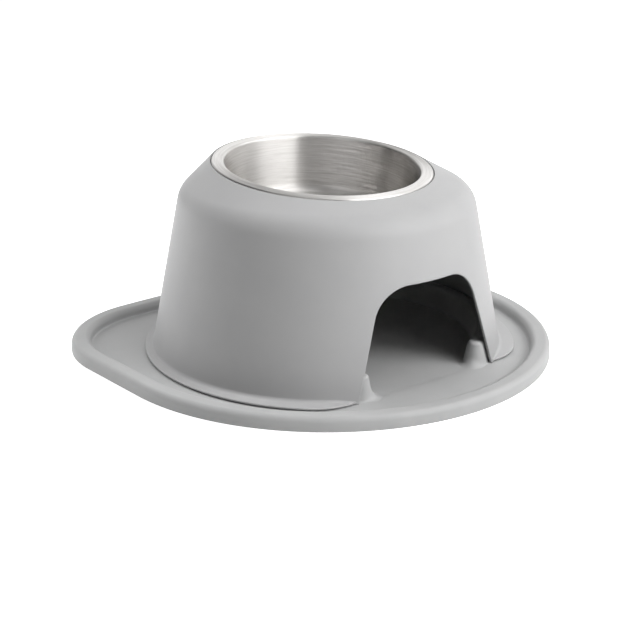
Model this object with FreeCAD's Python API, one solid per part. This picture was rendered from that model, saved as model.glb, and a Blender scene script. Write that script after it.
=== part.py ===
# Raised pet bowl: a round steel bowl in a tapered hollow stand on a wide mat.
# Millimetres, +Z up. The origin is on the floor, on the axis of the stand.
# The front, where the stand has its arch and the bowl leans down, faces -Y.

import FreeCAD, Part
import math
import os

# Bowl, which sets the size of the seat, the stand and the mat round it
bowl_mouth_radius = 92.5
bowl_rim_width = 11.7
bowl_depth = 57.0
bowl_draft = 2.5              # degrees
bowl_corner_round = 9.0
bowl_mouth_round = 2.2
bowl_lip_round = 1.9
bowl_lip_drop = 3.6
bowl_sheet = 0.8

# Seat for the rim in the top of the stand
seat_gap = 1.0                # round the rim
seat_edge = 0.5               # width of the plain edge round the recess
seat_show = 0.9               # height of the rim above that edge
seat_ledge = 3.5              # thickness of the ledge under the rim
seat_hole_gap = 1.5           # round the wall of the bowl

# Stand: sloping top, shoulder and wall
rim_tilt = 5.8                # degrees that the rim leans down towards the front
rim_centre_y = 5.7
rim_rise = 21.3               # middle of the rim above the shoulder
top_width = 32.4              # level distance from the seat out to the shoulder
shoulder_height = 151.0       # above the foot, before it is rounded
shoulder_round = 24.0
inner_shoulder_round = 20.0
stand_draft = 11.4            # degrees
stand_wall = 3.0

# Stand: flange round the foot
flange_reach = 9.65           # beyond the wall
flange_shift = 5.2            # set forward by this, so that it is narrowest at the back
flange_thickness = 1.9
flange_edge_round = 0.85
flange_fillet = 3.2           # up to the wall
flange_lift = 1.2             # gap under its outer edge
flange_bearing = 3.0          # width outside the wall that rests on the mat
flange_end_round = 55.0       # plan rounding of its two ends
flange_end_gap = 2.5          # plain wall between each end and the arch

# Stand: arch in the front
arch_half_width = 80.5        # at floor level
arch_lean = 17.0              # degrees
arch_height = 98.8            # above the floor
arch_round = 36.5
arch_edge_round = 1.0

# Mat: outline
mat_front_margin = 38.75      # from the edge of the flange to the round front edge
mat_front_shift = 1.2         # the centre of that edge lies behind the stand axis
mat_back_margin = 20.55       # from the flange to the middle of the gently bowed back edge
mat_back_radius = 1200.0
mat_corner_radius = 107.5     # the two back corners
mat_side_flare = 3.1          # degrees that each side opens towards the back
mat_floor = 3.0               # thickness of the floor

# Mat: raised curb round the edge
curb_height = 12.5
curb_outer_run = 1.0          # how far the outer face leans in
curb_top = 17.0               # width of the crest, before it is rounded
curb_inner_run = 1.0          # how far the inner face runs out to the floor
curb_outer_round = 5.0
curb_inner_round = 6.0
curb_foot_round = 2.0
mat_wall = 3.0                # skin over the hollow curb and ridge

# Mat: ridge that holds the stand in place, open at the arch
ridge_height = 22.0           # above the floor of the mat
ridge_top = 13.0
ridge_lean = 12.0             # degrees
ridge_round = 4.0
ridge_foot_round = 1.8
ridge_clearance = 1.5         # to the inside of the stand
ridge_end_inset = 12.0        # middle of each end, inside the foot of the arch

cut_over = 1.0                # how far a cutter runs past what it cuts
touching = 0.001              # points and levels closer than this are the same


def vec(x, y, z):
    return FreeCAD.Vector(x, y, z)


def tan_deg(angle):
    return math.tan(math.radians(angle))


def cos_deg(angle):
    return math.cos(math.radians(angle))


def sin_deg(angle):
    return math.sin(math.radians(angle))


def arc_point(centre, radius, angle):
    return centre + vec(radius * cos_deg(angle), radius * sin_deg(angle), 0)


def rounded_face(corners, place):
    """Face inside a closed outline of (u, v, radius) corners, put in space by place(u, v)."""
    ends = []
    count = len(corners)
    for i, (u, v, radius) in enumerate(corners):
        here = vec(u, v, 0)
        before = vec(corners[i - 1][0], corners[i - 1][1], 0) - here
        after = vec(corners[(i + 1) % count][0], corners[(i + 1) % count][1], 0) - here
        if radius <= 0:
            ends.append((here, None, here))
            continue
        half = before.getAngle(after) / 2
        before.normalize()
        after.normalize()
        towards = before + after
        towards.normalize()
        reach = radius / math.tan(half)
        middle = here + towards * (radius / math.sin(half) - radius)
        ends.append((here + before * reach, middle, here + after * reach))
    edges = []
    for i, (start, middle, end) in enumerate(ends):
        if middle is not None:
            arc = Part.Arc(place(start.x, start.y), place(middle.x, middle.y), place(end.x, end.y))
            edges.append(arc.toShape())
        following = ends[(i + 1) % count][0]
        if end.distanceToPoint(following) > touching:
            edges.append(Part.makeLine(place(end.x, end.y), place(following.x, following.y)))
    return Part.Face(Part.Wire(edges))


def largest_solid(shape):
    return max(shape.Solids, key=lambda solid: solid.Volume)


def merge(first, others):
    return largest_solid(first.multiFuse(others).removeSplitter())


# Sizes that follow from the ones above

foot_z = mat_floor
shoulder_z = foot_z + shoulder_height
rim_centre_z = shoulder_z + rim_rise
bowl_rim_radius = bowl_mouth_radius + bowl_rim_width
recess_radius = bowl_rim_radius + seat_gap
top_edge_radius = recess_radius + seat_edge
ledge_under = bowl_lip_drop + seat_ledge
shoulder_radius = top_edge_radius + top_width
top_slope = math.degrees(math.atan2(rim_rise - seat_show, top_width))
stand_foot_radius = shoulder_radius + shoulder_height * tan_deg(stand_draft)
stand_inner_foot = stand_foot_radius - stand_wall / cos_deg(stand_draft)
flange_radius = stand_foot_radius + flange_reach
flange_under = foot_z + flange_lift
flange_top = flange_under + flange_thickness
ridge_base_half = ridge_top / 2 + ridge_height * tan_deg(ridge_lean)
ridge_path = stand_inner_foot - ridge_clearance - ridge_base_half
ridge_end_angle = math.degrees(math.asin((arch_half_width - ridge_end_inset) / ridge_path))
mat_front_radius = flange_radius + mat_front_margin
mat_back_y = flange_radius - flange_shift + mat_back_margin


# Mat

# The outline is a round front, two straight sides that open a little, two round corners and a
# gently bowed back. The centre of a corner lies inside its side by the radius of the corner,
# where the corner's circle also touches the circle of the back.
front_centre = vec(0, mat_front_shift, 0)
back_centre = vec(0, mat_back_y - mat_back_radius, 0)
side_normal = vec(cos_deg(mat_side_flare), -sin_deg(mat_side_flare), 0)
side_run = vec(sin_deg(mat_side_flare), cos_deg(mat_side_flare), 0)
corner_line = front_centre + side_normal * (mat_front_radius - mat_corner_radius)
from_back = corner_line - back_centre
along = from_back.dot(side_run)
across = from_back.dot(side_normal)
corner_reach = mat_back_radius - mat_corner_radius
right_corner = corner_line + side_run * (math.sqrt(corner_reach**2 - across**2) - along)
left_corner = vec(-right_corner.x, right_corner.y, 0)
corner_turn = math.degrees(math.atan2(right_corner.y - back_centre.y, right_corner.x))

curb_inner_edge = curb_outer_run + curb_top
curb_foot = curb_inner_edge + curb_inner_run
curb_end = curb_foot + curb_foot_round


def outline_arcs(inset):
    """Centre, radius, start angle and sweep of each round stretch, going anticlockwise."""
    flare = mat_side_flare
    return [
        (front_centre, mat_front_radius - inset, 180 + flare, 180 - 2 * flare),
        (right_corner, mat_corner_radius - inset, -flare, corner_turn + flare),
        (back_centre, mat_back_radius - inset, corner_turn, 180 - 2 * corner_turn),
        (left_corner, mat_corner_radius - inset, 180 - corner_turn, corner_turn + flare),
    ]


def next_start(arcs, i):
    centre, radius, start, sweep = arcs[(i + 1) % len(arcs)]
    return arc_point(centre, radius, start)


def outline_face(inset):
    edges = []
    arcs = outline_arcs(inset)
    for i, (centre, radius, start, sweep) in enumerate(arcs):
        first = arc_point(centre, radius, start)
        middle = arc_point(centre, radius, start + sweep / 2)
        last = arc_point(centre, radius, start + sweep)
        edges.append(Part.Arc(first, middle, last).toShape())
        if last.distanceToPoint(next_start(arcs, i)) > touching:
            edges.append(Part.makeLine(last, next_start(arcs, i)))
    return Part.Face(Part.Wire(edges))


def curb_band(section):
    """Carry a section of (inset, height, radius) corners round the outline of the mat."""
    pieces = []
    arcs = outline_arcs(0)
    for i, (centre, radius, start, sweep) in enumerate(arcs):

        def at_angle(angle, centre=centre, radius=radius):
            return lambda inset, z: arc_point(centre, radius - inset, angle) + vec(0, 0, z)

        pieces.append(rounded_face(section, at_angle(start)).revolve(centre, vec(0, 0, 1), sweep))
        run = next_start(arcs, i) - arc_point(centre, radius, start + sweep)
        if run.Length > touching:
            pieces.append(rounded_face(section, at_angle(start + sweep)).extrude(run))
    return pieces


def curb():
    outer_lean = math.degrees(math.atan2(curb_outer_run, curb_height))
    inner_lean = math.degrees(math.atan2(curb_inner_run, curb_height - mat_floor))
    skin = [
        (0, 0, 0),
        (curb_outer_run, curb_height, curb_outer_round),
        (curb_inner_edge, curb_height, curb_inner_round),
        (curb_foot, mat_floor, curb_foot_round),
        (curb_end, mat_floor, 0),
        (curb_end, 0, 0),
    ]
    void_top = curb_height - mat_wall
    outer_foot = mat_wall / cos_deg(outer_lean)
    inner_foot = curb_foot + mat_floor * tan_deg(inner_lean) - mat_wall / cos_deg(inner_lean)
    void = [
        (outer_foot - cut_over * tan_deg(outer_lean), -cut_over, 0),
        (outer_foot + void_top * tan_deg(outer_lean), void_top, curb_outer_round - mat_wall),
        (inner_foot - void_top * tan_deg(inner_lean), void_top, curb_inner_round - mat_wall),
        (inner_foot + cut_over * tan_deg(inner_lean), -cut_over, 0),
    ]
    return curb_band(skin), curb_band(void)


def ridge_band(half_section):
    """Carry a section, given by its outer half, round to a rounded end each side of the arch."""
    start = -90 + ridge_end_angle
    sweep = 360 - 2 * ridge_end_angle
    outer = [corner for corner in half_section if corner[0] > 0]
    mirrored = [(-u, v, radius) for u, v, radius in reversed(outer)]

    def on_path(angle):
        return lambda u, z: arc_point(vec(0, 0, 0), ridge_path + u, angle) + vec(0, 0, z)

    full = rounded_face(outer + mirrored, on_path(start))
    pieces = [full.revolve(vec(0, 0, 0), vec(0, 0, 1), sweep)]
    for angle, turn in ((start, -180), (start + sweep, 180)):
        end = arc_point(vec(0, 0, 0), ridge_path, angle)
        half = rounded_face(half_section, on_path(angle))
        pieces.append(half.revolve(end, vec(0, 0, 1), turn))
    return pieces


def ridge():
    crest = mat_floor + ridge_height
    skirt = ridge_base_half + ridge_foot_round
    skin = [
        (0, 0, 0),
        (skirt, 0, 0),
        (skirt, mat_floor, 0),
        (ridge_base_half, mat_floor, ridge_foot_round),
        (ridge_top / 2, crest, ridge_round),
        (0, crest, 0),
    ]
    side = mat_wall / cos_deg(ridge_lean)
    foot = ridge_base_half + mat_floor * tan_deg(ridge_lean) - side
    void_top = crest - mat_wall
    void = [
        (0, -cut_over, 0),
        (foot + cut_over * tan_deg(ridge_lean), -cut_over, 0),
        (foot - void_top * tan_deg(ridge_lean), void_top, ridge_round - mat_wall),
        (0, void_top, 0),
    ]
    return ridge_band(skin), ridge_band(void)


def mat():
    floor = outline_face(curb_end).extrude(vec(0, 0, mat_floor))
    curb_skin, curb_void = curb()
    ridge_skin, ridge_void = ridge()
    body = merge(floor, curb_skin + ridge_skin)
    for hollow in (curb_void, ridge_void):
        body = body.cut(hollow[0].multiFuse(hollow[1:]))
    return largest_solid(body.removeSplitter())


# Stand


def to_rim(shape):
    """Move a shape from the rim plane, where z = 0 is the top of the rim, to its place."""
    tilted = shape.copy()
    tilted.rotate(vec(0, 0, 0), vec(1, 0, 0), rim_tilt)
    tilted.translate(vec(0, rim_centre_y, rim_centre_z))
    return tilted


def level_ring(shape, z, radius):
    """Edges of the shape that lie level at height z on a circle round the stand axis."""
    found = []
    for edge in shape.Edges:
        box = edge.BoundBox
        reach = max(abs(box.XMin), abs(box.XMax))
        if abs(box.ZMax - z) < touching and abs(box.ZMin - z) < touching:
            if abs(reach - radius) < 10 * touching:
                found.append(edge)
    return found


def tapered_body(foot_radius, corner_z, corner_round, top_radius, top_drop):
    """Cone up to a level rounded shoulder, then a slope up to a circle in the leaning rim plane."""
    corner_radius = foot_radius - (corner_z - foot_z) * tan_deg(stand_draft)
    wall = Part.makeCone(foot_radius, corner_radius, corner_z - foot_z, vec(0, 0, foot_z))
    low = Part.Wire(Part.makeCircle(corner_radius, vec(0, 0, corner_z)))
    high = to_rim(Part.Wire(Part.makeCircle(top_radius, vec(0, 0, -top_drop))))
    body = merge(wall, [Part.makeLoft([low, high], True, True)])
    return body.makeFillet(corner_round, level_ring(body, corner_z, corner_radius))


def stand_outside():
    """Outer form with the foot flange, whose bearing ring holds its edge just off the mat."""
    body = tapered_body(stand_foot_radius, shoulder_z, shoulder_round, top_edge_radius, seat_show)
    centre = vec(0, -flange_shift, flange_under)
    plate = Part.makeCylinder(flange_radius, flange_thickness, centre)
    ring = Part.makeCylinder(stand_foot_radius + flange_bearing, flange_lift, vec(0, 0, foot_z))
    body = merge(body, [plate.makeFillet(flange_edge_round, plate.Edges), ring])
    wall_radius = stand_foot_radius - (flange_top - foot_z) * tan_deg(stand_draft)
    return body.makeFillet(flange_fillet, level_ring(body, flange_top, wall_radius))


def stand_inside():
    """Hollow of the stand, which leaves an even wall and a ledge under the rim."""
    corner_z = shoulder_z - stand_wall * (1 / cos_deg(top_slope) - tan_deg(top_slope))
    top_radius = (
        top_edge_radius
        + (ledge_under - seat_show) / tan_deg(top_slope)
        - stand_wall / sin_deg(top_slope)
    )
    hollow = tapered_body(stand_inner_foot, corner_z, inner_shoulder_round, top_radius, ledge_under)
    below = Part.makeCylinder(stand_inner_foot, cut_over, vec(0, 0, foot_z - cut_over))
    return merge(hollow, [below])


def seat():
    """Recess for the rim and hole for the bowl."""
    recess = Part.makeCylinder(recess_radius, bowl_lip_drop, vec(0, 0, -bowl_lip_drop))
    hole_radius = bowl_mouth_radius + bowl_sheet + seat_hole_gap
    hole = Part.makeCylinder(hole_radius, 2 * ledge_under, vec(0, 0, -2 * ledge_under))
    return to_rim(merge(recess, [hole]))


def flange_trim():
    """Ends of the flange outside an arc that touches its edge and meets the wall by the arch."""
    corner_x = arch_half_width - flange_top * tan_deg(arch_lean) + flange_end_gap
    wall_radius = stand_foot_radius - (flange_top - foot_z) * tan_deg(stand_draft)
    corner = vec(corner_x, -math.sqrt(wall_radius**2 - corner_x**2), 0)
    flange_centre = vec(0, -flange_shift, 0)
    # the arc's centre is as far from the flange's centre as the two radii differ
    towards = corner - flange_centre
    span = towards.Length
    inner = flange_radius - flange_end_round
    along = (inner**2 - flange_end_round**2 + span**2) / (2 * span)
    across = math.sqrt(inner**2 - along**2)
    towards.normalize()
    centre = flange_centre + towards * along + vec(-towards.y, towards.x, 0) * across
    start = math.degrees(math.atan2(corner.y - centre.y, corner.x - centre.x))
    touch = math.degrees(math.atan2(centre.y - flange_centre.y, centre.x - flange_centre.x))
    on_edge = arc_point(centre, flange_end_round, touch)
    middle = arc_point(centre, flange_end_round, (start + touch) / 2)
    beyond = arc_point(centre, flange_end_round + cut_over, touch)
    low_y = -flange_shift - flange_radius - cut_over
    corners = [beyond, vec(beyond.x, low_y, 0), vec(0, low_y, 0), vec(0, corner.y, 0), corner]
    edges = [Part.Arc(corner, middle, on_edge).toShape(), Part.makeLine(on_edge, beyond)]
    for first, last in zip(corners, corners[1:]):
        edges.append(Part.makeLine(first, last))
    right = Part.Face(Part.Wire(edges)).extrude(vec(0, 0, shoulder_height))
    wall = Part.makeCone(stand_foot_radius, shoulder_radius, shoulder_height, vec(0, 0, foot_z))
    below = Part.makeCylinder(stand_foot_radius, foot_z)
    right = right.cut(wall.fuse(below))
    return right.fuse(right.mirror(vec(0, 0, 0), vec(1, 0, 0)))


def arch():
    top_half = arch_half_width - arch_height * tan_deg(arch_lean)
    low_half = arch_half_width + cut_over * tan_deg(arch_lean)
    section = [
        (-low_half, -cut_over, 0),
        (low_half, -cut_over, 0),
        (top_half, arch_height, arch_round),
        (-top_half, arch_height, arch_round),
    ]
    reach = flange_radius + flange_shift + cut_over
    face = rounded_face(section, lambda x, z: vec(x, -reach, z))
    return face.extrude(vec(0, reach - bowl_mouth_radius, 0))


def cut_edges(shape, cutter):
    """Edges that a cutter running along Y leaves on the walls that it passes through."""
    skin = cutter.Shells[0]
    found = []
    for edge in shape.Edges:
        first, last = edge.ParameterRange
        points = [edge.valueAt(t) for t in (first, (first + last) / 2, last)]
        run = points[2] - points[0]
        if math.hypot(run.x, run.z) < touching:
            continue
        if all(Part.Vertex(point).distToShape(skin)[0] < touching for point in points):
            found.append(edge)
    return found


def stand():
    body = stand_outside()
    for hollow in (stand_inside(), seat(), flange_trim()):
        body = body.cut(hollow)
    opening = arch()
    body = largest_solid(body.cut(opening).removeSplitter())
    return body.makeFillet(arch_edge_round, cut_edges(body, opening))


# Bowl


def bowl():
    """Pressed steel sheet: flat floor, round corner, steep wall, flat rim and turned-down lip."""
    floor_radius = bowl_mouth_radius - bowl_depth * tan_deg(bowl_draft)
    lip = bowl_rim_radius - bowl_sheet
    inside = [
        (0, -bowl_depth, 0),
        (floor_radius, -bowl_depth, bowl_corner_round),
        (bowl_mouth_radius, 0, bowl_mouth_round),
        (bowl_rim_radius, 0, bowl_lip_round),
        (bowl_rim_radius, -bowl_lip_drop, 0),
    ]
    outside = [
        (lip, -bowl_lip_drop, 0),
        (lip, -bowl_sheet, bowl_lip_round - bowl_sheet),
        (bowl_mouth_radius + bowl_sheet, -bowl_sheet, bowl_mouth_round - bowl_sheet),
        (floor_radius + bowl_sheet, -bowl_depth - bowl_sheet, bowl_corner_round + bowl_sheet),
        (0, -bowl_depth - bowl_sheet, 0),
    ]
    face = rounded_face(inside + outside, lambda r, z: vec(r, 0, z))
    return to_rim(face.revolve(vec(0, 0, 0), vec(0, 0, 1), 360))


os.makedirs("parts", exist_ok=True)
for name, make in (("mat", mat), ("stand", stand), ("bowl", bowl)):
    shape = make()
    shape.exportStep("parts/" + name + ".step")
    print(name, "solids", len(shape.Solids), "valid", shape.isValid(), "volume", round(shape.Volume))
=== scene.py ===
# Raised pet bowl: a pressed steel bowl in a moulded grey stand on a soft grey mat.
# Sizes are written in millimetres and turned to metres where a mesh is made.
# An angle is measured round the stand from its front, -Y, towards +X.
import math

import bmesh
import bpy
import numpy as np
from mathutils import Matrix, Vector


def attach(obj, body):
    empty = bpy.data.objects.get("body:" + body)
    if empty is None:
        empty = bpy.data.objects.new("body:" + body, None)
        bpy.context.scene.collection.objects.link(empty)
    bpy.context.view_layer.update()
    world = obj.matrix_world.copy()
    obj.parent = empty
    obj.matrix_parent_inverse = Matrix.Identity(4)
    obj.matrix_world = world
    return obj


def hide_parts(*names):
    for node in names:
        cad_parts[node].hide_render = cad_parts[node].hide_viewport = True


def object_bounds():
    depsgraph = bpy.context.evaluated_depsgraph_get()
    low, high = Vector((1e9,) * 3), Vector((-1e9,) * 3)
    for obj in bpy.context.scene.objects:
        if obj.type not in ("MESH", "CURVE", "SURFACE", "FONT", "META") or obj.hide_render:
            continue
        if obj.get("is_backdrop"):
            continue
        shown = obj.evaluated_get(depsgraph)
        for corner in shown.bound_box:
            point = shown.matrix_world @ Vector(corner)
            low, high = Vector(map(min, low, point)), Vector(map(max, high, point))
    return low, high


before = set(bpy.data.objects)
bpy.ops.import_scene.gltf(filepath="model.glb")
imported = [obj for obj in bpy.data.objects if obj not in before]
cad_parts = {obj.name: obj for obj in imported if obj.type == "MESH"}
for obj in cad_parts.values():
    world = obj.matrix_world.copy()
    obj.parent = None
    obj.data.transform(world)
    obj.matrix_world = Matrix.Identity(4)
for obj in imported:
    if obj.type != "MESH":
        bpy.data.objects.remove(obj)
cadLow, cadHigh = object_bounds()
mm = 0.001
tiny = 1e-9            # keeps a division away from zero
print("frame loaded")


def tanDeg(angle):
    return math.tan(math.radians(angle))


def cosDeg(angle):
    return math.cos(math.radians(angle))


def sinDeg(angle):
    return math.sin(math.radians(angle))


# The way out from the stand axis at a turn round the stand and a rise above the floor:
# (sin turn cos rise, -cos turn cos rise, sin rise).
def wayOut(turn, rise):
    return Vector((sinDeg(turn) * cosDeg(rise), -cosDeg(turn) * cosDeg(rise), sinDeg(rise)))


# Points at an angle, a distance from the axis and a height: (r sin a, -r cos a, height).
def ring(angle, radius, height):
    angle, radius, height = np.broadcast_arrays(np.asarray(angle, float), radius, height)
    a = np.radians(angle)
    return np.stack([radius * np.sin(a), -radius * np.cos(a), height], -1)


def unit(v):
    return v / np.maximum(np.linalg.norm(v, axis=-1, keepdims=True), tiny)


# 0 below low, 1 above high, and 3t^2 - 2t^3 between.
def smoothStep(x, low, high):
    t = np.clip((x - low) / (high - low), 0, 1)
    return t * t * (3 - 2 * t)


# A run of corners, each (points, radius, steps, guard), becomes rows of points. A corner with
# steps turns into an arc tangent to both its sides, a + b swept as sin((1-t)w)a + sin(tw)b, and
# a guard row that far outside each end of the arc keeps the flats flat.
def roundCorners(corners):
    rows = []
    for k, (here, radius, steps, guard) in enumerate(corners):
        if steps == 0:
            rows.append(here)
            continue
        back = unit(corners[k - 1][0] - here)
        ahead = unit(corners[k + 1][0] - here)
        half = np.arccos(np.clip((back * ahead).sum(-1), -1, 1)) / 2
        radius = np.broadcast_to(np.asarray(radius, float), half.shape)
        reach = (radius / np.tan(half))[..., None]
        hold = np.where(radius > 0, guard, 0)[..., None]
        centre = here + unit(back + ahead) * (radius / np.sin(half))[..., None]
        first = here + back * reach - centre
        last = here + ahead * reach - centre
        sweep = (np.pi - 2 * half)[..., None]
        if guard > 0:
            rows.append(here + back * (reach + hold))
        for t in np.linspace(0, 1, steps + 1):
            mix = np.sin((1 - t) * sweep) * first + np.sin(t * sweep) * last
            rows.append(centre + mix / np.maximum(np.sin(sweep), tiny))
        if guard > 0:
            rows.append(here + ahead * (reach + hold))
    return rows


# Rows of points between two rows, both ends left out: a + (b - a) t.
def between(a, b, count):
    return [a + (b - a) * t for t in np.linspace(0, 1, count + 2)[1:-1]]


samePoint = 0.002      # mm between points that are merged
shortEdge = 0.001      # mm, up to which an edge is taken out


# One mesh from grids of points (rows, columns, 3) in millimetres. Neighbouring grids share their
# edge points, which are merged, and the faces of the closed shell are then turned outwards.
# Values in extra, grids of 3 numbers, are kept with the points under the attribute's name.
def makePiece(name, grids, attribute=None, extra=None):
    points = np.concatenate([g.reshape(-1, 3) for g in grids]) * mm
    faces = []
    start = 0
    for g in grids:
        rows, columns = g.shape[:2]
        index = start + np.arange(rows * columns).reshape(rows, columns)
        quads = [index[:-1, :-1], index[1:, :-1], index[1:, 1:], index[:-1, 1:]]
        faces.append(np.stack(quads, -1).reshape(-1, 4))
        start += rows * columns
    faces = np.concatenate(faces)
    mesh = bpy.data.meshes.new(name)
    mesh.vertices.add(len(points))
    mesh.vertices.foreach_set("co", points.ravel())
    mesh.loops.add(faces.size)
    mesh.loops.foreach_set("vertex_index", faces.ravel())
    mesh.polygons.add(len(faces))
    mesh.polygons.foreach_set("loop_start", np.arange(len(faces)) * 4)
    mesh.update(calc_edges=True)
    if attribute:
        values = np.concatenate([g.reshape(-1, 3) for g in extra])
        layer = mesh.attributes.new(attribute, "FLOAT_VECTOR", "POINT")
        layer.data.foreach_set("vector", values.ravel())
    work = bmesh.new()
    work.from_mesh(mesh)
    bmesh.ops.remove_doubles(work, verts=work.verts, dist=samePoint * mm)
    bmesh.ops.dissolve_degenerate(work, edges=work.edges, dist=shortEdge * mm)
    bmesh.ops.recalc_face_normals(work, faces=work.faces)
    openEdges = sum(len(edge.link_faces) != 2 for edge in work.edges)
    work.to_mesh(mesh)
    work.free()
    mesh.polygons.foreach_set("use_smooth", np.ones(len(mesh.polygons), bool))
    piece = bpy.data.objects.new(name, mesh)
    bpy.context.scene.collection.objects.link(piece)
    print(name, "faces", len(mesh.polygons), "edges that don't join two faces", openEdges)
    return piece


# sRGB hex to linear colour.
def colour(hexText):
    parts = np.array([int(hexText[i : i + 2], 16) for i in (1, 3, 5)]) / 255
    linear = np.where(parts <= 0.04045, parts / 12.92, ((parts + 0.055) / 1.055) ** 2.4)
    return (*linear.tolist(), 1.0)


# A Mix node has these sockets for its share, its two colours and its result.
mixShare, mixFirst, mixSecond, mixResult = 0, 6, 7, 2


# Adds a node, sets its properties and sockets, and links its inputs.
def addNode(tree, kind, settings=None, values=None, links=None):
    node = tree.nodes.new(kind)
    for key, value in (settings or {}).items():
        setattr(node, key, value)
    for key, value in (values or {}).items():
        node.inputs[key].default_value = value
    for key, socket in (links or {}).items():
        tree.links.new(socket, node.inputs[key])
    return node


def newMaterial(name):
    material = bpy.data.materials.new(name)
    material.use_nodes = True
    material.node_tree.nodes.clear()
    return material, material.node_tree


# Rim plane, which leans down towards the front
rim = {
    "tilt": 5.8,           # degrees
    "centreY": 5.7,
    "centreZ": 175.3,
}


# Turns points from the rim plane, where z = 0 is the top of the rim, to their place: a turn of
# the tilt about X, then a move to the centre of the rim.
def toRim(p):
    c, s = cosDeg(rim["tilt"]), sinDeg(rim["tilt"])
    x, y, z = p[..., 0], p[..., 1], p[..., 2]
    return np.stack([x, y * c - z * s + rim["centreY"], y * s + z * c + rim["centreZ"]], -1)


# Steel bowl
bowlSizes = {
    "mouthRadius": 92.5,
    "rimWidth": 11.7,
    "depth": 57.0,
    "draft": 2.5,          # degrees
    "cornerRound": 9.0,    # where the wall turns into the floor
    "mouthRound": 2.2,
    "lipRound": 1.9,
    "lipDrop": 3.6,
    "edgeRound": 0.3,      # of the lower edge of the lip
    "sheet": 0.8,
    "floorShare": 0.5,     # of the floor's radius, where a ring of points keeps it flat
    "columns": 256,
}


# The sheet's section (radius, height below the rim) turned round the axis of the bowl, inside
# from the middle of the floor out to the lip, and back under it to the middle.
def makeBowl(size):
    mouth, depth, sheet = size["mouthRadius"], size["depth"], size["sheet"]
    rimRadius = mouth + size["rimWidth"]
    floor = mouth - depth * tanDeg(size["draft"])
    halfway = floor * size["floorShare"]
    lip = rimRadius - sheet
    edgeRound = size["edgeRound"]
    angle = np.linspace(0, 360, size["columns"] + 1)

    def at(radius, height):
        return ring(angle, radius, height)

    rows = roundCorners([
        (at(0, -depth), 0, 0, 0),
        (at(halfway, -depth), 0, 0, 0),
        (at(floor, -depth), size["cornerRound"], 16, 1.0),
        (at(mouth, 0), size["mouthRound"], 8, 0.5),
        (at(rimRadius, 0), size["lipRound"], 8, 0.5),
        (at(rimRadius, -size["lipDrop"]), edgeRound, 3, 0.1),
        (at(lip, -size["lipDrop"]), edgeRound, 3, 0.1),
        (at(lip, -sheet), size["lipRound"] - sheet, 4, 0.2),
        (at(mouth + sheet, -sheet), size["mouthRound"] - sheet, 5, 0.5),
        (at(floor + sheet, -depth - sheet), size["cornerRound"] + sheet, 12, 1.0),
        (at(halfway, -depth - sheet), 0, 0, 0),
        (at(0, -depth - sheet), 0, 0, 0),
    ])
    grid = np.stack(rows)
    along = np.linalg.norm(np.diff(grid[:, 0], axis=0), axis=-1)
    run = np.concatenate([[0], np.cumsum(along)])[:, None] + np.zeros(len(angle))
    turn = np.radians(angle) + np.zeros_like(run)
    way = np.stack([np.cos(turn), np.sin(turn), run], -1)
    return makePiece("steel_bowl", [toRim(grid)], "brushWay", [way])


bowl = makeBowl(bowlSizes)
print("bowl made")

# Moulded stand
standSizes = {
    "footZ": 3.0,              # the floor of the mat, on which it stands
    "footRadius": 168.546,
    "draft": 11.4,             # degrees
    "wall": 3.0,
    "shoulderRadius": 138.1,   # before it is rounded
    "shoulderHeight": 151.0,   # above the foot
    "shoulderRound": 24.0,
    "innerShoulderRound": 20.0,
    "recessRadius": 105.2,
    "recessRound": 0.2,
    "seatEdge": 0.5,           # width of the plain edge round the recess
    "seatEdgeRound": 0.5,
    "seatShow": 0.9,           # height of the rim above that edge
    "lipDrop": bowlSizes["lipDrop"],
    "ledge": 3.5,              # thickness of the ledge under the rim
    "ledgeRound": 1.5,         # where it meets the inside of the sloping top
    "holeRadius": 94.8,
    "holeRound": 0.6,
    "flangeReach": 9.65,       # beyond the wall
    "flangeShift": 5.2,        # set forward, so that it is narrowest at the back
    "flangeThickness": 1.9,
    "flangeEdge": 0.85,
    "flangeFillet": 3.2,       # up to the wall
    "flangeLift": 1.2,         # gap under its outer edge
    "flangeBearing": 3.0,      # width outside the wall that rests on the mat
    "flangeEndRound": 55.0,
    "flangeEndGap": 2.5,       # plain wall between each end of the flange and the arch
    "flangeGone": 0.05,        # narrower than this, it has run into the wall
    "sideAngle": 45.0,         # where the part beside the arch meets the plain back
    "clearZ": 14.0,            # above the fillet of the flange
    "plainZ": 120.0,           # above the arch
    "rowStep": 2.8,            # between rows of points up the wall
    "rowGap": 1.0,             # the least from the last of them to the round of the arch
    "archRows": 12,            # from there up to the plain height
    "archSteps": 40,
    "endSteps": 400,           # points that give the outline of the flange's end
    "endColumns": 20,          # columns along that end
    "endCrowding": 1.4,        # over 1, they stand closer by the arch
    "sideColumns": 4,          # from there to the plain back
    "backColumns": 180,
}

archSizes = {
    "halfWidth": 80.5,         # at the floor
    "lean": 17.0,              # degrees
    "height": 98.8,
    "round": 36.5,
    "edge": 1.0,               # round of the edges of its cut face
    "edgeSteps": 4,
    "edgeSettle": 20.0,        # height over which that round turns from level to square
    "split": 45.0,             # degrees up its round, where columns beside it meet those above
    "tries": 30,               # of finding where a column meets it
}


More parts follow.
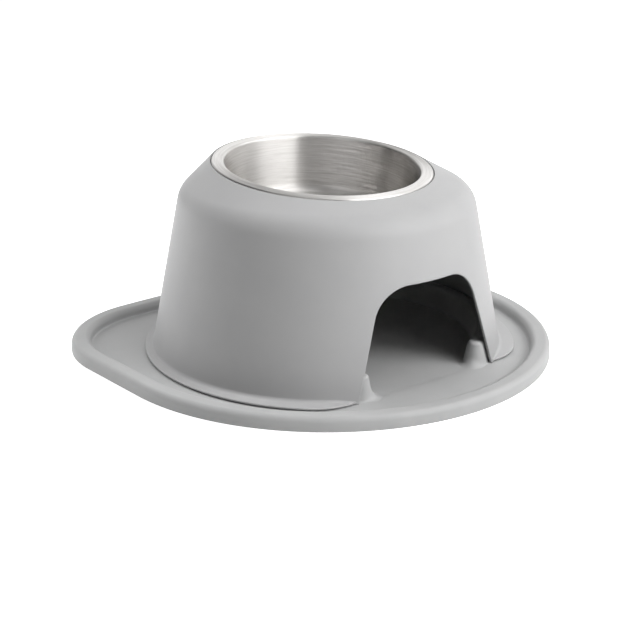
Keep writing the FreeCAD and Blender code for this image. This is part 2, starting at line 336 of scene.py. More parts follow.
# The arch outline, moved out by offset into the wall. Its side is the line x = w - z tan(lean),
# and a circle joins it to the level top.
class ArchOutline:
    def __init__(self, size, offset):
        lean = size["lean"]
        self.slope = tanDeg(lean)
        self.foot = size["halfWidth"] + offset / cosDeg(lean)
        self.radius = size["round"] + offset
        self.centreZ = size["height"] - size["round"]
        plain = size["halfWidth"] - self.centreZ * self.slope
        self.centreX = plain - size["round"] / cosDeg(lean)
        self.tangentZ = self.centreZ + self.radius * sinDeg(lean)
        self.splitZ = self.centreZ + self.radius * sinDeg(size["split"])

    def sideX(self, z):
        rise = np.clip(z - self.centreZ, 0, self.radius)
        onArc = self.centreX + np.sqrt(self.radius**2 - rise**2)
        return np.where(z < self.tangentZ, self.foot - z * self.slope, onArc)

    def topZ(self, x):
        run = np.clip(np.abs(x) - self.centreX, 0, self.radius)
        return self.centreZ + np.sqrt(self.radius**2 - run**2)


# Heights and radii that the stand's functions share.
class StandShape:
    def __init__(self, size, arch):
        self.size = size
        self.arch = arch
        self.outline = ArchOutline(arch, arch["edge"])
        self.slope = tanDeg(size["draft"])
        self.innerFoot = size["footRadius"] - size["wall"] / cosDeg(size["draft"])
        self.underZ = size["footZ"] + size["flangeLift"]
        self.topZ = self.underZ + size["flangeThickness"]
        self.flangeRadius = size["footRadius"] + size["flangeReach"]
        self.shoulderZ = size["footZ"] + size["shoulderHeight"]
        split = self.outline.splitZ
        low = np.arange(size["clearZ"], split - size["rowGap"], size["rowStep"])
        high = np.linspace(split, size["plainZ"], size["archRows"])
        self.wallZ = np.concatenate([low, high])
        self.splitRow = len(low)

    def outer(self, z):
        return self.size["footRadius"] - (z - self.size["footZ"]) * self.slope

    def inner(self, z):
        return self.innerFoot - (z - self.size["footZ"]) * self.slope

    # Angle at which a wall of this radius meets the side of the arch, at rows up to the split,
    # and the same as at the split above it.
    def archAngle(self, z, radiusAt):
        z = min(z, self.outline.splitZ)
        return math.degrees(math.asin(float(self.outline.sideX(z)) / radiusAt(z)))

    # Edge of the flange at an angle, as a distance from the axis: the flange is a circle set
    # forward by s, so the distance is s cos a + sqrt(R^2 - s^2 sin^2 a).
    def flangeEdge(self, angle):
        s, a = self.size["flangeShift"], np.radians(angle)
        return s * np.cos(a) + np.sqrt(self.flangeRadius**2 - (s * np.sin(a)) ** 2)

    # The rounded end of the flange: a circle that touches its edge from inside and meets the wall
    # by the foot of the arch, from there to where it touches.
    def flangeEnd(self):
        endRound = self.size["flangeEndRound"]
        wallRadius = self.outer(self.topZ)
        cornerX = self.arch["halfWidth"] - self.topZ * self.outline.slope + self.size["flangeEndGap"]
        corner = np.array([cornerX, -math.sqrt(wallRadius**2 - cornerX**2)])
        flange = np.array([0, -self.size["flangeShift"]])
        inner = self.flangeRadius - endRound
        span = np.linalg.norm(corner - flange)
        along = (inner**2 - endRound**2 + span**2) / (2 * span)
        across = math.sqrt(inner**2 - along**2)
        way = (corner - flange) / span
        centre = flange + way * along + np.array([-way[1], way[0]]) * across
        start = math.atan2(*(corner - centre)[::-1])
        touch = math.atan2(*(centre - flange)[::-1])
        a = np.linspace(start, touch, self.size["endSteps"])
        return centre + endRound * np.stack([np.cos(a), np.sin(a)], -1)


shape = StandShape(standSizes, archSizes)


# Rows of one column of the wall from the plain height up over the shoulder and the seat and down
# inside to the plain height. The section's corners are rounded where it is moulded round.
def upperRows(shape, angle, innerAngle):
    size = shape.size
    edgeRadius = size["recessRadius"] + size["seatEdge"]
    rise = rim["centreZ"] - size["seatShow"] - shape.shoulderZ
    topSlope = math.atan2(rise, size["shoulderRadius"] - edgeRadius)
    ledgeUnder = size["lipDrop"] + size["ledge"]
    innerTop = (
        edgeRadius
        + (ledgeUnder - size["seatShow"]) / math.tan(topSlope)
        - size["wall"] / math.sin(topSlope)
    )
    innerZ = shape.shoulderZ - size["wall"] * (1 / math.cos(topSlope) - math.tan(topSlope))

    def seat(radius, depth):
        return toRim(ring(angle, radius, -depth))

    return roundCorners([
        (ring(angle, shape.outer(size["plainZ"]), size["plainZ"]), 0, 0, 0),
        (ring(angle, size["shoulderRadius"], shape.shoulderZ), size["shoulderRound"], 14, 1.0),
        (seat(edgeRadius, size["seatShow"]), size["seatEdgeRound"], 4, 0.3),
        (seat(size["recessRadius"], size["seatShow"]), size["recessRound"], 3, 0),
        (seat(size["recessRadius"], size["lipDrop"]), 0, 0, 0),
        (seat(size["holeRadius"], size["lipDrop"]), size["holeRound"], 4, 0.3),
        (seat(size["holeRadius"], ledgeUnder), size["holeRound"], 4, 0.3),
        (seat(innerTop, ledgeUnder), size["ledgeRound"], 4, 0.5),
        (ring(innerAngle, shape.inner(innerZ), innerZ), size["innerShoulderRound"], 10, 1.0),
        (ring(innerAngle, shape.inner(size["plainZ"]), size["plainZ"]), 0, 0, 0),
    ])


# Rows of a column from the inner edge of the foot, under the bearing ring and the flange, round
# its edge and up the fillet to the wall. angleAt(z) gives the column's angle at a height, and
# edge its point on the flange's outline; where that lies on the wall the flange is gone.
def footRows(shape, angleAt, innerAngle, edge):
    size = shape.size
    footZ, underZ, topZ = size["footZ"], shape.underZ, shape.topZ

    def wallAt(z):
        return ring(angleAt(z), shape.outer(z), z)

    top = wallAt(topZ)
    out = edge - top
    out[..., 2] = 0
    width = np.linalg.norm(out, axis=-1)
    out = unit(out)
    bearing = np.minimum(size["flangeBearing"], np.maximum(width - size["flangeThickness"], 0))
    share = np.clip(width / size["flangeReach"], 0, 1)
    hold = width[..., None] > size["flangeGone"]
    under = np.where(hold, edge * [1, 1, 0] + [0, 0, underZ], wallAt(underZ))
    upper = np.where(hold, edge * [1, 1, 0] + [0, 0, topZ], top)
    foot = wallAt(footZ) + out * bearing[..., None]
    step = wallAt(underZ) + out * bearing[..., None]
    inside = ring(innerAngle, shape.innerFoot, footZ)
    edgeRound = size["flangeEdge"] * np.clip(2 * share, 0, 1)
    rows = [inside] + between(inside, foot, 2 * shape.arch["edgeSteps"])
    return rows + roundCorners([
        (foot, 0, 0, 0),
        (step, 0, 0, 0),
        (under, edgeRound, 4, 0),
        (upper, edgeRound, 5, 0),
        (top, size["flangeFillet"] * share, 8, 0.3),
        (wallAt(size["clearZ"]), 0, 0, 0),
    ])


# The stand as five grids: the part right of the arch, its mirror image, the plain back, the part
# over the arch and the cut face of the arch, with two small strips that close that face's feet.
def makeStand(shape):
    size, outline = shape.size, shape.outline
    side = size["sideAngle"]
    plainZ = size["plainZ"]
    wallZ, split = shape.wallZ, shape.splitRow
    end = shape.flangeEnd()
    endAngles = np.degrees(np.arctan2(end[:, 0], -end[:, 1]))
    lowAngle = shape.archAngle(shape.topZ, shape.outer)
    crowded = np.linspace(0, 1, size["endColumns"] + 1) ** size["endCrowding"]
    angles = np.concatenate([
        lowAngle + (endAngles[-1] - lowAngle) * crowded,
        np.linspace(endAngles[-1], side, size["sideColumns"] + 1)[1:],
    ])
    share = (angles - lowAngle) / (side - lowAngle)
    wallReach = shape.outer(shape.topZ)
    endReach = np.interp(angles, endAngles, np.linalg.norm(end, axis=-1), left=wallReach)
    reach = np.where(angles > endAngles[-1], shape.flangeEdge(angles), endReach)
    edge = ring(angles, reach, shape.topZ)

    def sideAngles(z, radiusAt):
        start = shape.archAngle(z, radiusAt)
        return start + (side - start) * share

    # beside the arch: the columns fan from its leaning side to a plain column
    outerTop, innerTop = sideAngles(plainZ, shape.outer), sideAngles(plainZ, shape.inner)
    rows = footRows(
        shape,
        lambda z: sideAngles(z, shape.outer),
        sideAngles(size["footZ"], shape.inner),
        edge,
    )
    rows += [ring(sideAngles(z, shape.outer), shape.outer(z), z) for z in wallZ[1:-1]]
    rows += upperRows(shape, outerTop, innerTop)
    rows += [ring(sideAngles(z, shape.inner), shape.inner(z), z) for z in wallZ[-2::-1]]
    rows += [
        ring(sideAngles(z, shape.inner), shape.inner(z), z)
        for z in (shape.topZ, shape.underZ, size["footZ"])
    ]
    right = np.stack(rows)
    left = right * [-1, 1, 1]

    # plain back
    angle = np.linspace(side, 360 - side, size["backColumns"] + 1)
    edge = ring(angle, shape.flangeEdge(angle), shape.topZ)
    rows = footRows(shape, lambda z: angle, angle, edge)
    rows += [ring(angle, shape.outer(z), z) for z in wallZ[1:-1]]
    rows += upperRows(shape, angle, angle)
    rows += [ring(angle, shape.inner(z), z) for z in wallZ[-2::-1]]
    rows += [ring(angle, shape.inner(z), z) for z in (shape.topZ, shape.underZ, size["footZ"])]
    back = np.stack(rows)

    # over the arch: rows are squeezed between its top and the plain height
    def overArch(radiusAt):
        reach = shape.archAngle(outline.splitZ, radiusAt)
        angle = np.linspace(-reach, reach, size["archSteps"] + 1)
        # the height where the column at this angle meets the outline, by repeated substitution
        z = np.full_like(angle, outline.splitZ)
        for _ in range(shape.arch["tries"]):
            z = outline.topZ(radiusAt(z) * np.sin(np.radians(angle)))
        part = (wallZ[split:] - outline.splitZ) / (plainZ - outline.splitZ)
        heights = z + (plainZ - z) * part[:, None]
        return angle, [ring(angle, radiusAt(h), h) for h in heights]

    outerAngle, outerRows = overArch(shape.outer)
    innerAngle, innerRows = overArch(shape.inner)
    over = np.stack(outerRows[:-1] + upperRows(shape, outerAngle, innerAngle) + innerRows[-2::-1])

    # the cut face of the arch, with both its edges rounded by the curve
    # (1-t)^2 a + 2t(1-t) b + t^2 c from wall to face
    edgeSize = shape.arch["edge"]
    sideZ = np.concatenate([[size["footZ"], shape.underZ, shape.topZ], wallZ[: split + 1]])
    sideX = outline.sideX(sideZ)
    turned = np.clip((sideZ - outline.centreZ) / outline.radius, sinDeg(shape.arch["lean"]), 1)
    lift = smoothStep(sideZ, size["footZ"], size["footZ"] + shape.arch["edgeSettle"])
    normalX, normalZ = np.sqrt(1 - turned**2), turned
    trueZ = sideZ - edgeSize * normalZ * lift
    onSide = sideZ < outline.tangentZ
    plainX = shape.arch["halfWidth"] - trueZ * outline.slope
    trueX = np.where(onSide, plainX, sideX - edgeSize * normalX)

    def topPath(radiusAt):
        angle, rows = overArch(radiusAt)
        x, z = rows[0][:, 0], rows[0][:, 2]
        awayX = np.sign(x) * np.maximum(np.abs(x) - outline.centreX, 0)
        away = unit(np.stack([awayX, z - outline.centreZ], -1))
        return x, z, x - edgeSize * away[:, 0], z - edgeSize * away[:, 1]

    def wallPath(radiusAt):
        x, z, tx, tz = topPath(radiusAt)
        x = np.concatenate([-sideX[:-1], x, sideX[-2::-1]])
        z = np.concatenate([sideZ[:-1], z, sideZ[-2::-1]])
        tx = np.concatenate([-trueX[:-1], tx, trueX[-2::-1]])
        tz = np.concatenate([trueZ[:-1], tz, trueZ[-2::-1]])
        onWall = np.stack([x, -np.sqrt(radiusAt(z) ** 2 - x**2), z], -1)
        corner = np.stack([tx, -np.sqrt(radiusAt(tz) ** 2 - tx**2), tz], -1)
        return onWall, corner

    def roundEdge(onWall, corner, inward):
        onFace = corner + [0, inward * edgeSize, 0]
        steps = np.linspace(0, 1, shape.arch["edgeSteps"] + 1)
        return [(1 - t) ** 2 * onWall + 2 * t * (1 - t) * corner + t * t * onFace for t in steps]

    outerEdge = roundEdge(*wallPath(shape.outer), 1)
    innerEdge = roundEdge(*wallPath(shape.inner), -1)
    face = np.stack(outerEdge + innerEdge[::-1])
    feet = []
    for column in (0, -1):
        strip = face[:, column]
        parts = np.linspace(0, 1, len(strip))[:, None]
        flat = strip[0] + (strip[-1] - strip[0]) * parts
        feet.append(np.stack([strip, flat]))
    return makePiece("moulded_stand", [right, left, back, over, face] + feet)


stand = makeStand(shape)
print("stand made")

# Spill mat
matSizes = {
    "frontRadius": 216.946,
    "frontShift": 1.2,
    "backY": 193.546,
    "backRadius": 1200.0,
    "cornerRadius": 107.5,
    "flare": 3.1,           # degrees that each side opens towards the back
    "ridgePath": 152.81,    # radius of the middle of the ridge
    "ridgeEnd": 26.64,      # angle of the middle of each lug
    "ridgeLean": 12.0,      # degrees
    "footMargin": 0.5,      # flat beyond the round at the foot of the ridge
    "sunkFront": -141.0,    # behind this the floor inside the ridge is at its depth
    "sunkStep": 9.0,        # run of the slope in front of it
    "sunkTries": 4,         # of finding where that slope meets a lug
    "arcSteps": 1500,       # points that give each arc of the outline
    "lugSteps": 721,        # points that give the foot of a lug
    "lugFront": 12,         # columns of a lug before its foremost point
    "lugBack": 40,          # and behind it
    "stepColumns": 7,       # more of them on the slope
    "gapColumns": 64,       # across, from lug to lug
    "backColumns": 300,
    "innerRows": 7,         # from the middle of the floor out to the ridge
    "outerRows": 9,         # from the ridge out to the curb
}

# What differs between the top and the hollow underside: heights, and half widths of the ridge
topSide = {
    "floorZ": 3.0,
    "sunk": 0.5,            # depth of the floor inside the ridge below the rest
    "crestZ": 25.0,
    "crestHalf": 6.5,
    "crestRound": 4.0,
    "footHalf": 11.176,
    "footRound": 1.8,
    "footSpread": 9.0,      # added to the foot's round at the tip of a lug
}
underSide = {
    "floorZ": 0.0,
    "sunk": 0.0,
    "crestZ": 22.0,
    "crestHalf": 4.07,
    "crestRound": 1.0,
    "footHalf": 8.747,
    "footRound": 0.6,
    "footSpread": 0.0,
}

# Section of the curb: inset from the outline, height, round, steps of the round, guard
curbSection = [
    (24, 3, 0, 0, 0),
    (19, 3, 2, 5, 0),
    (18, 12.5, 6, 9, 0.3),
    (1, 12.5, 5, 9, 0.3),
    (0, 0, 0.4, 3, 0),
    (3.0, 0, 0.4, 3, 0),
    (3.8, 9.5, 2, 4, 0),
    (15.3, 9.5, 3, 4, 0.3),
    (16.3, 0, 0.4, 3, 0),
    (24, 0, 0, 0, 0),
]


# Outline of the mat at the angles: four arcs that touch each other or a straight side, each point
# with its normal towards the inside, found by the angle at which it is seen from the stand axis.
def matOutline(size, angles):
    flare = size["flare"]
    normal = np.array([cosDeg(flare), -sinDeg(flare)])
    run = np.array([sinDeg(flare), cosDeg(flare)])
    front = np.array([0, size["frontShift"]])
    back = np.array([0, size["backY"] - size["backRadius"]])
    line = front + normal * (size["frontRadius"] - size["cornerRadius"])
    reach = size["backRadius"] - size["cornerRadius"]
    across = (line - back) @ normal
    right = line + run * (math.sqrt(reach**2 - across**2) - (line - back) @ run)
    left = right * [-1, 1]
    turn = math.degrees(math.atan2(right[1] - back[1], right[0]))
    points, normals = [], []
    for centre, radius, start, sweep in (
        (front, size["frontRadius"], 180 + flare, 180 - 2 * flare),
        (right, size["cornerRadius"], -flare, turn + flare),
        (back, size["backRadius"], turn, 180 - 2 * turn),
        (left, size["cornerRadius"], 180 - turn, turn + flare),
    ):
        a = np.radians(start + sweep * np.linspace(0, 1, size["arcSteps"]))
        out = np.stack([np.cos(a), np.sin(a)], -1)
        points.append(centre + radius * out)
        normals.append(-out)
    points, normals = np.concatenate(points), np.concatenate(normals)
    seen = np.degrees(np.arctan2(points[:, 0], -points[:, 1]))
    columns = [np.interp(angles, seen, v, period=360) for v in (*points.T, *normals.T)]
    return np.stack(columns[:2], -1), unit(np.stack(columns[2:], -1))


# Half of the ridge's section, from the middle of its crest out to where its foot has run into the
# floor. place(u, z) puts a distance from the middle and a height in space.
def ridgeRows(size, side, place, floorZ, footRound):
    footHalf = side["footHalf"] - (floorZ - side["floorZ"]) * tanDeg(size["ridgeLean"])
    edge = footHalf + footRound / tanDeg(45 + size["ridgeLean"] / 2) + size["footMargin"]
    return roundCorners([
        (place(0, side["crestZ"]), 0, 0, 0),
        (place(side["crestHalf"], side["crestZ"]), side["crestRound"], 8, 0.3),
        (place(footHalf, floorZ), footRound, 8, 0.3),
        (place(edge, floorZ), 0, 0, 0),
    ])


# One side of the mat, without its curb: grids of points, and the line from which its floor runs
# out to the curb. A lug is the ridge's half section turned by an angle psi round the ridge's end,
# from outwards (0) over the gap to inwards (180).
def matSide(size, side):
    end = size["ridgeEnd"]
    centre = ring(end, size["ridgePath"], 0.0)
    outward = np.array([sinDeg(end), -cosDeg(end), 0])
    across = np.array([-cosDeg(end), -sinDeg(end), 0])

    def lugRows(psi):
        psi = np.radians(psi)
        way = np.cos(psi)[:, None] * outward + np.sin(psi)[:, None] * across
        footRound = side["footRound"] + side["footSpread"] * np.sin(psi) ** 2
        inside = psi > math.radians(end)

        def place(u, z):
            u, z = np.broadcast_to(u, psi.shape), np.broadcast_to(z, psi.shape)
            return centre + way * u[:, None] + np.array([0, 0, 1]) * z[:, None]

        # a smooth step down to the sunk floor, behind its straight front edge
        floorZ = side["floorZ"] - side["sunk"] * inside
        for _ in range(size["sunkTries"]):
            edgeY = ridgeRows(size, side, place, floorZ, footRound)[-1][:, 1]
            step = smoothStep(edgeY, size["sunkFront"] - size["sunkStep"], size["sunkFront"])
            floorZ = side["floorZ"] - side["sunk"] * inside * step
        return ridgeRows(size, side, place, floorZ, footRound)

    dense = np.linspace(0, 180, size["lugSteps"])
    edgeY = lugRows(dense)[-1][:, 1]
    foremost = np.argmin(edgeY)
    stepY = size["sunkFront"] - size["sunkStep"] * np.linspace(1, 0, size["stepColumns"])
    atStep = np.interp(stepY, edgeY[foremost:], dense[foremost:])
    behind = np.linspace(dense[foremost], 180, size["lugBack"] + 1)
    psi = np.concatenate([
        np.linspace(0, dense[foremost], size["lugFront"] + 1)[:-1],
        np.sort(np.concatenate([behind, atStep])),
    ])
    rightLug = np.stack(lugRows(psi))
    leftLug = rightLug * [-1, 1, 1]
    edge = rightLug[-1]
    behindEdge = edge[size["lugFront"] :]
    share = np.linspace(-1, 1, size["gapColumns"] + 1)
    gap = behindEdge[:, None] * np.stack([share, np.ones_like(share), np.ones_like(share)], -1)

    angle = np.linspace(end, 360 - end, size["backColumns"] + 1)

    def band(sign, floorZ):
        def place(u, z):
            return ring(angle, size["ridgePath"] + sign * u, z)

        return ridgeRows(size, side, place, floorZ, side["footRound"])

    sunkZ = side["floorZ"] - side["sunk"]
    inner = band(-1, sunkZ)
    outer = band(1, side["floorZ"])
    middle = np.array([0, 0, sunkZ])
    parts = np.linspace(0, 1, size["innerRows"])[:, None, None]
    backDisc = middle + (inner[-1] - middle) * parts
    frontDisc = middle + (gap[-1] - middle) * parts
    backRidge = np.stack(inner[::-1] + outer[1:])
    lugEdge = edge[: size["lugFront"]]
    frontLine = np.concatenate([lugEdge * [-1, 1, 1], gap[0], lugEdge[::-1]])
    return [backDisc, frontDisc, backRidge, gap, rightLug, leftLug], frontLine, backRidge[-1]


# The mat as the grids of its top and of its underside, which the curb's section joins.
def makeMat(size):
    top, topFront, topBack = matSide(size, topSide)
    under, underFront, underBack = matSide(size, underSide)
    topLine = np.concatenate([topFront, topBack[1:]])
    underLine = np.concatenate([underFront, underBack[1:]])
    angles = np.degrees(np.arctan2(topLine[:, 0], -topLine[:, 1]))
    base, normal = matOutline(size, angles)

    def place(inset, z):
        flat = base + normal * inset
        return np.concatenate([flat, np.full((len(flat), 1), float(z))], -1)

    curb = np.stack(roundCorners([(place(i, z), r, n, g) for i, z, r, n, g in curbSection]))
    parts = np.linspace(0, 1, size["outerRows"])[:, None, None]
    topFloor = topLine + (curb[0] - topLine) * parts
    underFloor = underLine + (curb[-1] - underLine) * parts
    return makePiece("spill_mat", [*top, *under, curb, topFloor, underFloor])


mat = makeMat(matSizes)
print("mat made")

# Materials

# Stand: stiff grey polypropylene, injection moulded in a spark-eroded tool. The eye sees an even,
# soft grey with a wide dull sheen that a very fine grain breaks up. Real grain is about 0.2 mm
# across, too fine to show, so it is drawn as coarse as it needs to be.
plasticLook = {
    "name": "moulded_polypropylene",
    "grey": ("#adadae", "#b5b5b5"),    # the two greys that it drifts between
    "drift": 40.0,                     # mm across, of that drift
    "grain": 1.1,                      # mm across, of the grain
    "bump": (0.3, 0.06),               # its strength, and its height in mm
    "roughness": (0.44, 0.56),
    "sheen": 0.0,
}

# Mat: soft thermoplastic elastomer, moulded in one piece. The eye sees a duller, slightly velvety
# grey with a coarser grain than on the stand, whose crest catches a broad soft light.
rubberLook = {
    "name": "moulded_soft_elastomer",
    "grey": ("#afb0b0", "#b9b9b9"),
    "drift": 30.0,
    "grain": 1.6,
    "bump": (0.35, 0.08),
    "roughness": (0.52, 0.66),
    "sheen": 0.08,
}

# Bowl: stainless steel, pressed and brushed round its axis. The eye sees soft upright bands of
# light on its wall, because the fine lines spread a reflection across them, and a bright rim.
steelLook = {
    "name": "brushed_stainless_steel",
    "steel": ("#d9d7d4", "#e8e6e4"),   # in the lines and between them
    "roughness": (0.30, 0.48),
    "spread": 1.0,                     # how much wider light spreads across the lines than along
    "lines": (2.5, 0.75),              # noise cells per radian round the bowl, and per mm across
    "depth": 0.016,                    # mm, of the lines
}

noiseRange = {"From Min": 0.35, "From Max": 0.65}    # where nearly all of a noise's values lie


# Noise in space whose blotches are about the given number of mm across.
def spaceNoise(tree, place, across, detail):
    return addNode(
        tree, "ShaderNodeTexNoise",
        values={"Scale": 1 / (across * mm), "Detail": detail, "Roughness": 0.6},
        links={"Vector": place.outputs["Object"]},
    ).outputs["Fac"]


# A grey that drifts slowly between two shades, as far as wide noise takes it.
def driftingGrey(tree, place, look):
    mixed = addNode(
        tree, "ShaderNodeMix", {"data_type": "RGBA"},
        {mixFirst: colour(look["grey"][0]), mixSecond: colour(look["grey"][1])},
        {mixShare: spaceNoise(tree, place, look["drift"], 2.0)},
    )
    return mixed.outputs[mixResult]


# Gloss that varies with the grain: the rough value is where the noise is low.
def grainGloss(tree, look, grain):
    low, high = look["roughness"]
    spread = addNode(
        tree, "ShaderNodeMapRange",
        values={**noiseRange, "To Min": high, "To Max": low},
        links={"Value": grain},
    )
    return spread.outputs["Result"]


# A moulded surface: the drifting grey, with fine noise as a shallow bump and as the gloss, and a
# sheen at grazing angles.
def mouldedSurface(look):
    material, tree = newMaterial(look["name"])
    place = addNode(tree, "ShaderNodeTexCoord")
    grain = spaceNoise(tree, place, look["grain"], 3.0)
    strength, height = look["bump"]
    bump = addNode(
        tree, "ShaderNodeBump",
        values={"Strength": strength, "Distance": height * mm}, links={"Height": grain},
    )
    shader = addNode(
        tree, "ShaderNodeBsdfPrincipled",
        values={"Sheen Weight": look["sheen"], "Sheen Roughness": 0.5},
        links={
            "Base Color": driftingGrey(tree, place, look),
            "Roughness": grainGloss(tree, look, grain),
            "Normal": bump.outputs["Normal"],
        },
    )
    addNode(tree, "ShaderNodeOutputMaterial", links={"Surface": shader.outputs["BSDF"]})
    return material


# A brushed surface: brushWay holds the direction round the bowl and the run along its section.
# The lines are noise on that direction and that run, each times its own density, so they are long
# and thin, and the gloss is stretched across them.
def brushedSteel(look):
    material, tree = newMaterial(look["name"])
    way = addNode(tree, "ShaderNodeAttribute", {"attribute_name": "brushWay"})
    aroundBowl = addNode(
        tree, "ShaderNodeVectorMath", {"operation": "MULTIPLY"},
        values={1: (1, 1, 0)}, links={0: way.outputs["Vector"]},
    )
    around, across = look["lines"]
    stretch = addNode(
        tree, "ShaderNodeVectorMath", {"operation": "MULTIPLY"},
        values={1: (around, around, across)}, links={0: way.outputs["Vector"]},
    )
    lines = addNode(
        tree, "ShaderNodeTexNoise", values={"Scale": 1.0, "Detail": 3.0, "Roughness": 0.7},
        links={"Vector": stretch.outputs["Vector"]},
    ).outputs["Fac"]
    contrast = addNode(tree, "ShaderNodeMapRange", values=noiseRange, links={"Value": lines})
    tone = addNode(
        tree, "ShaderNodeMix", {"data_type": "RGBA"},
        {mixFirst: colour(look["steel"][0]), mixSecond: colour(look["steel"][1])},
        {mixShare: contrast.outputs["Result"]},
    )
    bump = addNode(
        tree, "ShaderNodeBump", values={"Strength": 1.0, "Distance": look["depth"] * mm},
        links={"Height": lines},
    )
    shader = addNode(
        tree, "ShaderNodeBsdfPrincipled",
        values={
            "Metallic": 1.0,
            "Anisotropic": look["spread"],
            "Anisotropic Rotation": 0.25,
        },
        links={
            "Base Color": tone.outputs[mixResult],
            "Roughness": grainGloss(tree, look, lines),
            "Normal": bump.outputs["Normal"],
            "Tangent": aroundBowl.outputs["Vector"],
        },
    )
    addNode(tree, "ShaderNodeOutputMaterial", links={"Surface": shader.outputs["BSDF"]})
    return material


for piece, node, slot, material in (
    (mat, "mat", "mat_rubber", mouldedSurface(rubberLook)),
    (stand, "stand", "stand_plastic", mouldedSurface(plasticLook)),
    (bowl, "bowl", "bowl_steel", brushedSteel(steelLook)),
):
    piece.data.materials.append(material)
    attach(piece, "root")
    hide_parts(node)
print("materials made")

# Camera: it stands to the left of the front and looks a little down
view = {
    "turn": -37.5,
    "rise": 19.51,
    "distance": 1207.8,
    "target": (-4.79, 3.68, 21.05),
    "focalLength": 69.65,
    "sensor": 36.0,
}
scene = bpy.context.scene
cameraData = bpy.data.cameras.new("camera")
cameraData.sensor_width = view["sensor"]
cameraData.lens = view["focalLength"]
cameraData.clip_start = 0.01     # metres
cameraData.clip_end = 50.0
camera = bpy.data.objects.new("camera", cameraData)
scene.collection.objects.link(camera)
away = wayOut(view["turn"], view["rise"])
camera.location = (Vector(view["target"]) + away * view["distance"]) * mm
camera.rotation_euler = away.to_track_quat("Z", "Y").to_euler()
scene.camera = camera
print("camera placed")

# Floor: white paper that shows white and keeps the shadow
paperLook = {
    "half": 6.0,                # metres, half its width
    "height": -0.0003,          # metres, just under the mat
    "white": "#e6e6e6",
    "glow": (0.8, 1.0),         # by the object, and all round
    "glowReach": (0.25, 0.6),   # metres from the stand axis, over which it grows
}
floorCorners = [
    (x * paperLook["half"], y * paperLook["half"], paperLook["height"])
    for x, y in ((-1, -1), (1, -1), (1, 1), (-1, 1))
]
floorMesh = bpy.data.meshes.new("studio_floor")
floorMesh.from_pydata(floorCorners, [], [(0, 1, 2, 3)])
floor = bpy.data.objects.new("studio_floor", floorMesh)
scene.collection.objects.link(floor)


# White paper lit from all sides: the eye sees plain white, with a faint shadow by the object. Its
# glow for the camera and in reflections grows to full white by the distance from the stand axis.
def paper(look):
    material, tree = newMaterial("white_paper")
    dim, full = look["glow"]
    near, far = look["glowReach"]
    ray = addNode(tree, "ShaderNodeLightPath")
    place = addNode(tree, "ShaderNodeTexCoord")
    reach = addNode(
        tree, "ShaderNodeVectorMath", {"operation": "LENGTH"},
        links={0: place.outputs["Object"]},
    )
    level = addNode(
        tree, "ShaderNodeMapRange",
        values={"From Min": near, "From Max": far, "To Min": dim, "To Max": full},
        links={"Value": reach.outputs["Value"]},
    )
    seen = addNode(
        tree, "ShaderNodeMath", {"operation": "MAXIMUM"},
        links={0: ray.outputs["Is Camera Ray"], 1: ray.outputs["Is Glossy Ray"]},
    )
    strength = addNode(
        tree, "ShaderNodeMath", {"operation": "MULTIPLY"},
        links={0: seen.outputs[0], 1: level.outputs["Result"]},
    )
    diffuse = addNode(tree, "ShaderNodeBsdfDiffuse", values={"Color": colour(look["white"])})
    glow = addNode(
        tree, "ShaderNodeEmission", values={"Color": (1, 1, 1, 1)},
        links={"Strength": strength.outputs[0]},
    )
    both = addNode(tree, "ShaderNodeAddShader", links={0: diffuse.outputs[0], 1: glow.outputs[0]})
    addNode(tree, "ShaderNodeOutputMaterial", links={"Surface": both.outputs[0]})
    return material


floorMesh.materials.append(paper(paperLook))
floor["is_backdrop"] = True
print("floor laid")

# What the steel reflects of the studio, by the angle round the stand: a wide white panel in front
# on the right, bright walls from there to the back, a greyer one on the left with a dark corner
# behind it, and a softer light overhead. Each stop is (angle, brightness).
surroundings = [
    (-180, 0.40),
    (-165, 0.10),
    (-150, 0.03),
    (-112, 0.03),
    (-94, 0.15),
    (-86, 0.70),
    (-74, 0.85),
    (-62, 0.75),
    (-50, 0.65),
    (-20, 0.50),
    (-8, 0.42),
    (-3, 3.5),
    (36, 3.5),
    (58, 1.8),
    (74, 1.7),
    (82, 1.2),
    (110, 1.4),
    (140, 1.1),
    (165, 0.95),
    (180, 0.40),
]
overhead = [
    (-180, 0.6),
    (-150, 0.1),
    (-95, 0.1),
    (-60, 0.6),
    (-42, 0.2),
    (-12, 0.2),
    (4, 1.4),
    (60, 1.3),
    (180, 0.6),
]
studio = {
    "overheadRise": (0.5, 0.8),    # height of a unit direction, over which it takes over
    "fill": 0.05,                  # what the studio adds to the lamps
}


# Brightness by angle round the stand: a colour ramp on the share of the full turn, which starts
# with a stop at each end.
def brightness(tree, share, levels):
    ramp = addNode(tree, "ShaderNodeValToRGB", links={"Fac": share})
    stops = ramp.color_ramp.elements
    for turn, _ in levels[1:-1]:
        stops.new((turn + 180) / 360)
    for stop, (turn, level) in zip(stops, levels):
        stop.color = (level, level, level, 1)
    return ramp.outputs["Color"]


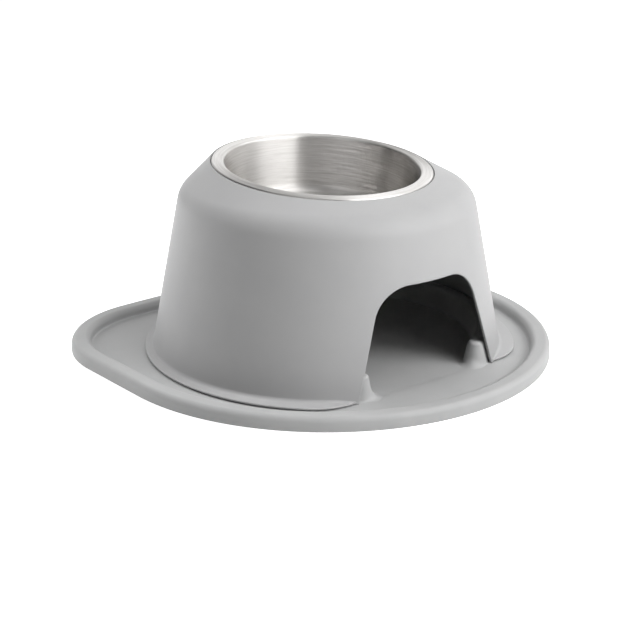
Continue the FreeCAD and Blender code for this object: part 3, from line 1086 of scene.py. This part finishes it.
# The studio: white for the camera, the two rings of brightness for glossy rays, and otherwise a
# faint even light. The angle round the stand is atan2(x, -y) of the ray's direction.
def studioWorld():
    world = bpy.data.worlds.new("studio")
    world.use_nodes = True
    tree = world.node_tree
    tree.nodes.clear()
    ray = addNode(tree, "ShaderNodeLightPath")
    place = addNode(tree, "ShaderNodeTexCoord")
    split = addNode(tree, "ShaderNodeSeparateXYZ", links={0: place.outputs["Generated"]})
    front = addNode(
        tree, "ShaderNodeMath", {"operation": "MULTIPLY"}, {1: -1.0}, {0: split.outputs["Y"]}
    )
    angle = addNode(
        tree, "ShaderNodeMath", {"operation": "ARCTAN2"},
        links={0: split.outputs["X"], 1: front.outputs[0]},
    )
    share = addNode(
        tree, "ShaderNodeMapRange",
        values={"From Min": -math.pi, "From Max": math.pi},
        links={"Value": angle.outputs[0]},
    )
    low, high = studio["overheadRise"]
    rise = addNode(
        tree, "ShaderNodeMapRange", {"interpolation_type": "SMOOTHSTEP"},
        values={"From Min": low, "From Max": high},
        links={"Value": split.outputs["Z"]},
    )
    reflected = addNode(
        tree, "ShaderNodeMix", {"data_type": "RGBA"},
        links={
            mixShare: rise.outputs["Result"],
            mixFirst: brightness(tree, share.outputs["Result"], surroundings),
            mixSecond: brightness(tree, share.outputs["Result"], overhead),
        },
    )
    plain = {"Color": (1, 1, 1, 1)}
    dim = addNode(tree, "ShaderNodeBackground", values={**plain, "Strength": studio["fill"]})
    white = addNode(tree, "ShaderNodeBackground", values={**plain, "Strength": 1.0})
    panels = addNode(
        tree, "ShaderNodeBackground",
        values={"Strength": 1.0}, links={"Color": reflected.outputs[mixResult]},
    )
    first = addNode(
        tree, "ShaderNodeMixShader",
        links={0: ray.outputs["Is Glossy Ray"], 1: dim.outputs[0], 2: panels.outputs[0]},
    )
    both = addNode(
        tree, "ShaderNodeMixShader",
        links={0: ray.outputs["Is Camera Ray"], 1: first.outputs[0], 2: white.outputs[0]},
    )
    addNode(tree, "ShaderNodeOutputWorld", links={"Surface": both.outputs[0]})
    return world


scene.world = studioWorld()
scene.view_settings.view_transform = "Standard"
print("studio made")

# Soft round lamps: turn round the stand and rise above the floor in degrees, and power in watts.
# No camera or glossy ray sees them.
lamps = {
    "overhead": (0, 90, 9.5),
    "front_high": (15, 62, 10.5),
    "front": (5, 35, 6.5),
    "front_right": (30, 35, 20.0),
    "back_left": (-150, 35, 11.0),
    "back_left_low": (-150, 8, 19.0),
}
lampDistance = 2.0     # metres
lampWidth = 1.0


def addLamp(name, turn, rise, power):
    data = bpy.data.lights.new(name, "AREA")
    data.shape = "DISK"
    data.size = lampWidth
    data.energy = power
    lamp = bpy.data.objects.new(name, data)
    scene.collection.objects.link(lamp)
    way = wayOut(turn, rise)
    lamp.location = way * lampDistance
    lamp.rotation_euler = way.to_track_quat("Z", "Y").to_euler()
    lamp.visible_camera = False
    lamp.visible_glossy = False


for name, (turn, rise, power) in lamps.items():
    addLamp(name, turn, rise, power)
print("lamps placed")

sizes = {
    "cadLow": list(cadLow),
    "cadHigh": list(cadHigh),
}
low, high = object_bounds()
sizes["low"], sizes["high"] = list(low), list(high)
